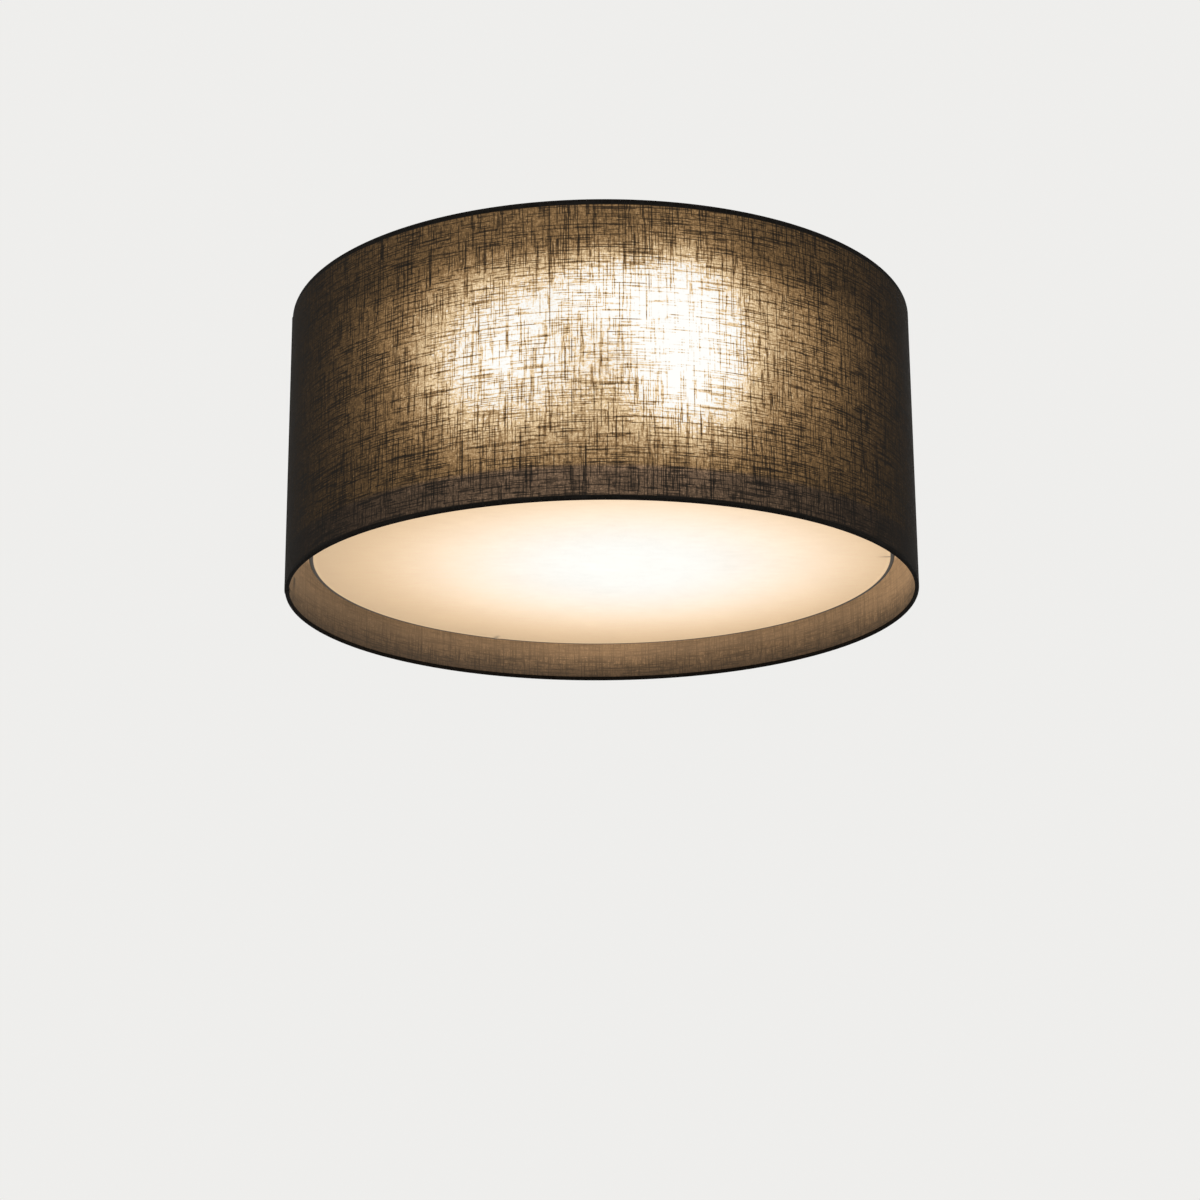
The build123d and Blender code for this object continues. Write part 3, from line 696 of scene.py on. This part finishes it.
hub = rounded([(STEM_R + FIT, HUB_LOW), (SHADE_HUB_R, HUB_LOW), (SHADE_HUB_R, HUB_TOP),
               (STEM_R + FIT, HUB_TOP)], [0.2, 0.6, 0.6, 0.2])
piece("spider_hub", turned(hub, 72), coat, replaces=["shade_hub"])


# ---- Shade liner ----
# A translucent styrene sheet, 0.3 mm thick, rolled to a tube and laminated inside the cloth. Its
# warm glow where the bulbs light it is painted light, as is the light that slips past the disc onto
# the wall below; it shows the weave faintly below the diffuser, and has a frayed joint at the left.

LINER_R, LINER_T, LINER_LOW, LINER_TOP = 249.25, 0.3, -232.1, -6.9
SHADE_R = 250.0
THREAD = 0.72                           # one thread and the gap beside it
DISC_Z = -204.0                         # the light that slips past the disc fades from here down
DIM_Z, BRIGHT_Z = -186.0, -170.0        # above the disc the wall goes from dim to fully lit


def weave_of(finish, shift=0.0):
    """How open the slubby linen is: 0 behind a thick thread, about 1 between threads."""
    x, y, z = finish.across()
    turn = radians(6.2)                 # brings the pattern's cut away from the seam's side
    ahead, aside = x * cos(turn) - y * sin(turn), x * sin(turn) + y * cos(turn)
    around = aside.math("ARCTAN2", ahead) * SHADE_R
    up = z * 1000
    warp, weft = (around / THREAD).math("FLOOR"), (up / THREAD).math("FLOOR")
    wide_warp = (around / (2 * THREAD)).math("FLOOR")
    wide_weft = (up / (1.6 * THREAD)).math("FLOOR")

    def thread(index, along, length, row):
        """A value that wanders along each thread."""
        at = finish.node("ShaderNodeCombineXYZ", {},
                         {0: index * 7.31 + shift, 1: along / length + row, 2: 0.0})
        return finish.node("ShaderNodeTexNoise", {"noise_dimensions": "2D"},
                           {"Vector": at, "Scale": 1.0, "Detail": 1.0})

    thin = 1.7 * (thread(warp, up, 4, 0.0) - 0.5) + 1.7 * (thread(weft, around, 4, 0.0) - 0.5)
    grit = 1.5 * (finish.noise(0.9, 1.0, 7.0) - 0.5)
    bunch = 0.10 * (finish.noise(26, 2.0, 40.0) - 0.5)
    slubs = 0.0
    for index, along, length, least, dark in (
            (warp, up, 34, 0.60, 1.5), (weft, around, 34, 0.60, 1.5),
            (warp, up, 80, 0.65, 1.1), (weft, around, 80, 0.65, 1.1),
            (wide_warp, up, 26, 0.67, 0.8), (wide_weft, around, 26, 0.67, 0.8)):
        slubby = thread(index, along, length, length * 3.7) + bunch
        slubs = slubs + dark * finish.step(slubby, least, least + 0.05)
    return math.e ** (thin + grit - slubs)


def bell(finish, value, centre, spread):
    """1 at the centre, falling off to both sides."""
    off = (value - centre) * (1 / (spread * sqrt(2)))
    return math.e ** (0.0 - off * off)


liner = Finish("laminated_liner", Roughness=0.62, Emission_Strength=1.0)
x, y, z = liner.across()
level, side = z * 1000, x * 1000
mottle = weave_of(liner, 50.0)
# Painted light: what slips past the disc's edge onto the wall below it, and the bulbs' light on the wall
# above.
below = bell(liner, level.math("MINIMUM", DISC_Z), DISC_Z, 13.5)
above = liner.step(level, DIM_Z, BRIGHT_Z) * (0.32 + 0.5 * bell(liner, level, -70.0, 60.0))
contrast = 0.25 + 0.75 * (1 - liner.step(level, -224, -208))
streaks = liner.noise((20, 20, 2.5), 3.0) * 0.5 + liner.noise((3, 3, 60), 2.0, 4.0) * 0.5
woven = 1 + contrast * (0.8 * mottle - 0.51) + 1.1 * (streaks - 0.5)
# Painted pools of light round the wall: brighter behind the middle and at the right, dimmer at the left.
behind, at_left = bell(liner, side, 2.0, 42.0), bell(liner, side, -215.0, 40.0)
at_right = liner.step(side, 205, 246)
pools = 1 + 0.50 * behind + 0.5 * at_right - 0.42 * at_left
light = below * 0.108 * woven * pools + above
JOINT_X, JOINT_LEAN, JOINT_HALF = 27.3, 0.165, 2.2      # round the wall from its left end
off_joint = y.math("ARCTAN2", x * -1) * SHADE_R - JOINT_X - (level + 207) * JOINT_LEAN
frayed = 0.7 + 0.3 * liner.step(liner.noise((9, 9, 2.5), 2.0, 2.0), 0.40, 0.50)
joint = bell(liner, off_joint, 0.0, JOINT_HALF) * frayed * (0.45 + 0.55 * liner.step(level, -219, -210))
joint = joint * (1 - liner.step(level, -206.5, -205.5))
warmth = liner.mix(liner.step(level, DIM_Z, BRIGHT_Z), (1.56, 0.885, 0.40, 1), (1.16, 0.90, 0.62, 1))
weave_tone = (mottle * 0.45).math("MINIMUM", 0.9)
skin = liner.mix(weave_tone, (0.035, 0.024, 0.014, 1), (0.085, 0.057, 0.035, 1))
liner.feed(
    Base_Color=liner.mix(joint, skin, (0.012, 0.009, 0.006, 1)),
    Emission_Color=liner.tinted(warmth, light * (1 - 0.9 * joint)),
    Normal=liner.bump(mottle, 0.02),
)
rows = [LINER_LOW + (LINER_TOP - LINER_LOW) * k / 12 for k in range(13)]
tube = [(LINER_R, z) for z in rows] + [(LINER_R + LINER_T, z) for z in reversed(rows)]
piece("liner_tube", turned(tube, 384), liner, replaces=["shade_liner"])


# ---- Shade cloth ----
# Black slubby linen laminated on the liner and rolled over both rings, so each edge is a tight
# round hem. The light of the lit bulbs, showing through between the threads, is painted on as a glow.

HEM_OUT, CLOTH_T = 1.65, 0.4            # the cloth's outer face from a ring's middle
HAZE, WASH = 0.1, 1.0                   # faint light all over the front, and the wash round the pools
DISC_SHADOW = (-212.0, -207.0)          # the cloth is dimmer below the disc's edge
HEM_LOW, HEM_TOP = (-232.2, -230.6), (-9.3, -8.3)

linen = Finish("black_linen", Roughness=0.9, Specular_IOR_Level=0.06, Emission_Strength=1.0)
x, y, z = linen.across()
level = z * 1000
open_weave = weave_of(linen)
facing = y * -1
turn = (x * facing.math("SIGN")).math("ARCTAN2", facing.math("ABSOLUTE")) * (180 / pi)

# Each pool of light: its angle from the front, its height, how far it spreads round
# and up, in degrees and millimetres, and its strength. The back has the same pools.
POOLS = (
    (14, -115, 5, 28, 10),              # the brightest, at the right
    (-16, -122, 7, 28, 2.5),            # at the left and a little lower
    (3, -80, 6, 15, 3.5),               # between them, higher up
)
# Painted light: the bulbs' glow through the cloth, as a faint haze, a wash and the pools below.
glow = HAZE * bell(linen, turn, 0, 28)
wash_height = linen.step(level, -225, -90) * (1 - linen.step(level, -90, -35))
glow = glow + WASH * bell(linen, turn, 2, 18) * wash_height
for angle, height, wide, tall, strength in POOLS:
    glow = glow + strength * bell(linen, turn, angle, wide) * bell(linen, level, height, tall)
lit_side = linen.step(level, *DISC_SHADOW)
glow = glow * (0.60 + 0.40 * lit_side)
# The painted glow stops at both hems, where the cloth is rolled over the rings.
glow = glow * linen.step(level, *HEM_LOW) * (1 - linen.step(level, *HEM_TOP))
seen = 1 - math.e ** (glow * open_weave * -1.42)
hue = linen.mix(linen.step(seen, 0.05, 0.55), (1.58, 0.90, 0.36, 1), (1.30, 0.955, 0.545, 1))
hue = linen.mix(linen.step(seen, 0.62, 1.0), hue, (1.0, 1.0, 0.97, 1))
hue = linen.mix(lit_side, (1.44, 0.915, 0.56, 1), hue)
linen.feed(
    Base_Color=linen.mix(open_weave, (0.012, 0.0105, 0.009, 1), (0.006, 0.005, 0.004, 1)),
    Emission_Color=linen.tinted(hue, seen),
    Normal=linen.bump(open_weave, 0.12),
)


def rolled_hem(reach, centre, way):
    """Points round one ring, from the outer wall under or over it to the inside."""
    turns = [radians(a) for a in range(0, -301, -15)]
    return [(RING_R + reach * cos(a), centre + way * reach * sin(a)) for a in turns]


def cloth_profile(grow=0.0):
    """The cloth's closed section: its outer face, grown by so much, and its inner face."""
    faces = []
    for reach in (HEM_OUT + grow, HEM_OUT - CLOTH_T + grow):
        low, high = rolled_hem(reach, LOW_RING_Z, 1), rolled_hem(reach, TOP_RING_Z, -1)
        wall = [(RING_R + reach, LOW_RING_Z + (TOP_RING_Z - LOW_RING_Z) * k / 24) for k in range(1, 24)]
        faces.append(low[::-1] + wall + high)
    return faces[0] + faces[1][::-1]


piece("linen_drum", turned(cloth_profile(), 480), linen, replaces=["shade_fabric"])


# ---- Lap seam ----
# Where the cloth meets itself at the back, its cut end laps over by 10 mm and is glued down,
# rolled over both rings with the rest.

LAP_FIRST, LAP_TURN, LAP_RISE = -175.0, 2.29, 0.42      # degrees, degrees, millimetres


def sector(profile, first, last, steps=6):
    """A closed profile swept part of the way round, with closed ends."""
    count = len(profile)
    turns = [first + (last - first) * k / steps for k in range(steps + 1)]
    points = [(r * cos(a), r * sin(a), z) for a in turns for r, z in profile]
    faces = [tuple(range(count)), tuple(range(steps * count, (steps + 1) * count))]
    for k in range(0, steps * count, count):
        faces += [(k + i, k + (i + 1) % count, k + count + (i + 1) % count, k + count + i)
                  for i in range(count)]
    return mesh_of(points, faces)


lap = sector(cloth_profile(LAP_RISE), radians(LAP_FIRST), radians(LAP_FIRST + LAP_TURN))
piece("lap_strip", lap, linen, replaces=["shade_seam"])


# ---- Stem knob ----
# Turned brass, screwed on the stem's lower end: a knurled body, a neck and a blunt ball that the
# diffuser's clip snaps over.

KNOB_R, KNOB_TOP, KNOB_FLOOR, KNOB_BASE = 6.5, -101.0, -107.5, -110.0
NECK_R, NECK_END, BALL_R, BALL_END = 3.5, -113.0, 6.0, -121.0
KNURL_COUNT, KNURL_DEPTH = 36, 0.22

knob_line = rounded(
    [(0, BALL_END), (NECK_R, BALL_END), (BALL_R, BALL_END + 2), (BALL_R, NECK_END - 2),
     (NECK_R, NECK_END), (NECK_R, KNOB_BASE), (KNOB_R, KNOB_BASE), (KNOB_R, KNOB_TOP),
     (STEM_R, KNOB_TOP), (STEM_R, KNOB_FLOOR), (0, KNOB_FLOOR)],
    [0, 2.2, 1.8, 1.6, 0.5, 0.3, 0.8, 0.8, 0.3, 0.2, 0])
knob_shape = fluted(knob_line, KNOB_R + 0.4, KNURL_DEPTH, KNURL_COUNT, KNOB_BASE + 0.8, KNOB_TOP - 0.8)
piece("turned_knob", turned(knob_shape, 144, closed=False), brass, replaces=["stem_knob"])


# ---- Diffuser clip ----
# A spring socket of thin brass, slit into six fingers, with a flange below. It grips the knob's
# ball, so the whole diffuser comes down with a pull, and turns freely on it.

CLIP_R, CLIP_BORE_R, CLIP_MOUTH = 7.5, 6.3, -111.55
FLANGE_R, FLANGE_LOW, FLANGE_TOP = 10.5, -122.55, -121.05
SLIT_W, SLIT_END = 0.9, -119.6

clip_line = rounded(
    [(0, FLANGE_LOW), (FLANGE_R, FLANGE_LOW), (FLANGE_R, FLANGE_TOP), (CLIP_R, FLANGE_TOP),
     (CLIP_R, -112.4), (7.3, CLIP_MOUTH), (6.7, CLIP_MOUTH), (CLIP_BORE_R, -112.6),
     (CLIP_BORE_R, FLANGE_TOP), (0, FLANGE_TOP)], [0, 0.6, 0.4, 0.3, 0.3, 0.2, 0.2, 0.3, 0.3, 0])
slits = [moved(prism(oblong(18, SLIT_W), SLIT_END, CLIP_MOUTH + 1.55), Matrix.Rotation(pi * k / 3, 4, "Z"))
         for k in range(3)]
clip = combined(turned(clip_line, 96, closed=False), slits)
piece("spring_clip", clip, brass, "diffuser_clip", ["diffuser_clip"])


# ---- Diffuser frame ----
# A ring, three arms and a small hub of white-coated wire, welded. The hub turns on the clip's
# socket, and the ring stiffens the disc's edge.

RIM_R, RIM_Z = 230.35, -205.15          # the ring's middle
SPOKE_R, SPOKE_BEND_R, BOSS_R, BOSS_BORE_R, BOSS_T = 1.2, 12.0, 15.0, 7.8, 4.0
SPOKE_AZIMUTHS = (-6, 114, -126)

piece("diffuser_hoop", hoop(RIM_R, RIM_Z), coat, "diffuser", ["diffuser_ring"])
boss_top = FLANGE_TOP + BOSS_T
spoke_top = boss_top - 2.0
fall_line = rounded([(14.0, 0, spoke_top), (27.05, 0, spoke_top), (RIM_R - 13.25, 0, RIM_Z + 0.55),
                     (RIM_R - 1.25, 0, RIM_Z + 0.55)], SPOKE_BEND_R, closed=False, steps=8)
for number, azimuth in enumerate(SPOKE_AZIMUTHS, 1):
    welds = [bead((RIM_R - 2.65, 0, RIM_Z + 0.75), 2.2, 1.0), bead((15.4, 0, spoke_top + 0.45), 1.6, 1.3)]
    spoke = combined(wire(fall_line, SPOKE_R, 20), welds, "UNION")
    piece(f"diffuser_spoke_{number}", moved(spoke, Matrix.Rotation(radians(azimuth), 4, "Z")), coat,
          "diffuser", [f"diffuser_arm_{number}"])
boss = rounded([(BOSS_BORE_R, FLANGE_TOP), (BOSS_R, FLANGE_TOP), (BOSS_R, boss_top),
                (BOSS_BORE_R, boss_top)], [0.3, 0.8, 0.8, 0.3])
piece("diffuser_boss", turned(boss, 72), coat, "diffuser", ["diffuser_hub"])


# ---- Diffuser sheet ----
# A disc of matt opal acrylic, 0.5 mm thick, lit from above by the two bulbs; that light is painted
# as a glow, brightest near the middle and dimmer and warmer outwards. The arms lie on it, and it is
# glued to the ring along its edge.

SHEET_T, SHEET_R = 0.5, RIM_R - 1.45


def from_point(finish, centre=0.0):
    """Distance in millimetres from a point on the X axis."""
    x, y, z = finish.across()
    dx, dy = x * 1000 - centre, y * 1000
    return (dx * dx + dy * dy).math("SQRT")


matt = Finish("matt_opal", Roughness=0.55, Emission_Strength=1.0)
grain = matt.noise(0.9, 3.0)
# Painted light from the bulbs above: bright near the middle, dimmer and warmer outwards.
outward = matt.step(from_point(matt, 10), 40, 240)
matt.feed(
    Base_Color=matt.mix(grain, (0.74, 0.71, 0.66, 1), (0.80, 0.78, 0.73, 1)),
    Emission_Color=matt.mix(outward, (0.44, 0.38, 0.28, 1), (0.18, 0.12, 0.06, 1)),
    Normal=matt.bump(grain, 0.02),
)
low = RIM_Z - RING_BAR_R
plate = rounded([(0, low), (SHEET_R, low), (SHEET_R, low + SHEET_T), (0, low + SHEET_T)], [0, 0.2, 0.2, 0])
piece("opal_disc", turned(plate, 192, closed=False), matt, "diffuser", ["diffuser_sheet"])


# ---- Diffuser textile ----
# Fine pale cloth laminated under the sheet and turned up round the ring. The light through it is
# painted as a glow, dimmer and warmer outwards, with a painted bright line just inside the ring, and
# the cloth's colour warms outwards with it. The ring's painted shadow shows as a grey line at the
# edge, and the cloth puckers a little over the end of each arm, where a short painted shadow lies.

TEXTILE_OUT, TEXTILE_T = 1.65, 0.4      # the cloth's outer face from the ring's middle
TEXTILE_THREAD = 0.6
# Each arm's end puckers the cloth and lays a short painted shadow there.
PUCKERS_AND_ARM_SHADOWS = ((-5.6, 0.55), (113.9, 0.6), (-126, 0.55))    # azimuth and width, in degrees
PUCKER_DEPTH, PUCKER_L = 0.45, 14.0

textile = Finish("pale_textile", Roughness=0.82, Specular_IOR_Level=0.2, Emission_Strength=1.0)
away, radius = from_point(textile, 20), from_point(textile)
x, y, z = textile.across()
wave = 1000 * 2 * pi / TEXTILE_THREAD
threads = ((x * wave).math("SINE") * (y * wave).math("SINE")) * 0.5 + 0.5
cloudy, fine = textile.noise(38, 4.0), textile.noise((1.2, 9, 2), 2.0, 4.0)
streaky = textile.noise((16, 5, 9), 2.0, 8.0)
# 0 over the ring, where a painted shadow takes the glow away and greys the cloth's colour.
on_disc = 1 - textile.step(radius, RIM_R - 2.0, RIM_R - 1.4)
# A painted bright line just inside the ring.
bright_line = 1 + 0.16 * bell(textile, radius, RIM_R - 3.2, 0.8)
azimuth = y.math("ARCTAN2", x) * (180 / pi)
# Painted shadows of the arms' ends, near the ring.
arm_end_shadows = 0.0
for where, width in PUCKERS_AND_ARM_SHADOWS:
    near_ring = textile.step(radius, RIM_R - 15, RIM_R - 3)
    arm_end_shadows = arm_end_shadows + bell(textile, azimuth, where + 0.25, width * 0.6) * near_ring
lit = 0.68 - 0.06 * textile.step(away, 20, 120) - 0.36 * textile.step(away, 105, 250)
lit = lit * (0.80 + 0.14 * cloudy + 0.08 * fine + 0.18 * streaky)
outer = textile.step(away, 40, 230)
tint = textile.mix(outer, (0.98, 1.0, 0.98, 1), (1.41, 0.93, 0.50, 1))
# Painted warmth: the cloth's colour warms outwards with the painted light.
cloth_with_painted_warmth = textile.mix(outer, (0.62, 0.58, 0.52, 1), (0.62, 0.50, 0.36, 1))
textile.feed(
    Base_Color=textile.mix((1 - on_disc) * 0.9, cloth_with_painted_warmth, (0.13, 0.125, 0.12, 1)),
    Emission_Color=textile.tinted(tint, lit * on_disc * bright_line * (1 - 0.85 * arm_end_shadows)),
    Normal=textile.bump(0.6 * threads + 0.6 * fine, 0.03),
)


def round_ring(reach, first, last, way):
    turns = [radians(a) for a in range(first, last, way)]
    return [(RIM_R + reach * cos(a), RIM_Z + reach * sin(a)) for a in turns]


inner = TEXTILE_OUT - TEXTILE_T
flat = [RIM_R * k / 40 for k in range(40)]
textile_line = [(r, RIM_Z - TEXTILE_OUT) for r in flat] + round_ring(TEXTILE_OUT, -90, 121, 15)
textile_line += round_ring(inner, 120, -91, -15) + [(r, RIM_Z - inner) for r in reversed(flat)]


def creased(angle):
    """The disc's section at an angle, with a short pucker by the ring over each arm's end."""
    out = []
    for r, z in textile_line:
        drop = 0.0
        for where, width in PUCKERS_AND_ARM_SHADOWS:
            off = (math.degrees(angle) - where + 180) % 360 - 180
            drop += math.exp(-(off / width) ** 2) * max(0.0, min(1.0, (r - RIM_R + PUCKER_L) / 10))
        out.append((r, z - PUCKER_DEPTH * drop))
    return out


piece("textile_disc", turned(creased, 480, closed=False), textile, "diffuser",
      ["diffuser_fabric"])


# ---- Studio ----
# A plain pale floor well below the lamp, soft even light, and the camera where the photograph's
# was, 2 m in front of the lamp and below it, looking up.

AIM = Vector((0, 0, -0.12))             # metres, as all sizes of the studio
FLOOR_Z, FLOOR_HALF = -2.1, 9.0
CAMERA_PLACE, CAMERA_LENS = (0, -2.03575, -0.8399), 80.33
YAW, PITCH, ROLL = -0.0008, 0.2889, -0.0059

scene = bpy.context.scene


def lamp(name, place, size, power):
    light = bpy.data.lights.new(name, "AREA")
    light.shape, light.size, light.energy = "DISK", size, power
    holder = bpy.data.objects.new(name, light)
    scene.collection.objects.link(holder)
    holder.location = place
    holder.rotation_euler = (AIM - Vector(place)).to_track_quat("-Z", "Y").to_euler()


lamp("key", (-1.6, -2.2, 1.4), 1.8, 34)
lamp("fill", (2.2, -1.4, -0.2), 2.0, 14)
lamp("back", (0.4, 2.4, 1.0), 1.8, 16)

world = bpy.data.worlds.new("studio")
world.use_nodes = True
scene.world = world
tree = world.node_tree
rays = tree.nodes.new("ShaderNodeLightPath")
seen = rays.outputs["Is Camera Ray"]
for kind in ("Is Glossy Ray", "Is Transmission Ray"):
    either = tree.nodes.new("ShaderNodeMath")
    either.operation = "MAXIMUM"
    tree.links.new(seen, either.inputs[0])
    tree.links.new(rays.outputs[kind], either.inputs[1])
    seen = either.outputs[0]
backdrop = tree.nodes.new("ShaderNodeMix")
backdrop.data_type = "RGBA"
backdrop.inputs[6].default_value = (0.50, 0.50, 0.50, 1)
backdrop.inputs[7].default_value = (0.86, 0.855, 0.84, 1)
tree.links.new(seen, backdrop.inputs[0])
tree.links.new(backdrop.outputs[2], tree.nodes["Background"].inputs["Color"])

pale = Finish("pale_floor", Roughness=0.8, Emission_Strength=1.0)
soft = pale.noise(900, 3.0)
looked_at = pale.node("ShaderNodeLightPath", {}, {}, "Is Camera Ray")
pale.feed(
    Base_Color=pale.mix(soft, (0.78, 0.775, 0.76, 1), (0.82, 0.815, 0.80, 1)),
    Emission_Color=pale.mix(looked_at, (0.0, 0.0, 0.0, 1), (0.24, 0.238, 0.234, 1)),
)
corners = [(x * FLOOR_HALF, y * FLOOR_HALF, FLOOR_Z) for x, y in ((-1, -1), (1, -1), (1, 1), (-1, 1))]
floor_mesh = mesh_of(corners, [(0, 1, 2, 3)])
floor_mesh.materials.append(pale.material)
floor = bpy.data.objects.new("studio_floor", floor_mesh)
scene.collection.objects.link(floor)
floor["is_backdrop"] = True

forward = Vector((sin(YAW) * cos(PITCH), cos(YAW) * cos(PITCH), sin(PITCH)))
level_right = Vector((cos(YAW), -sin(YAW), 0))
level_up = level_right.cross(forward)
right = cos(ROLL) * level_right + sin(ROLL) * level_up
up = cos(ROLL) * level_up - sin(ROLL) * level_right
facing_lamp = Matrix((right, up, -forward)).transposed().to_4x4()
camera = bpy.data.objects.new("camera", bpy.data.cameras.new("camera"))
camera.data.sensor_width, camera.data.lens = 36, CAMERA_LENS
camera.matrix_world = Matrix.Translation(CAMERA_PLACE) @ facing_lamp
scene.collection.objects.link(camera)
scene.camera = camera
scene.view_settings.view_transform = "Standard"

low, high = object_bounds()
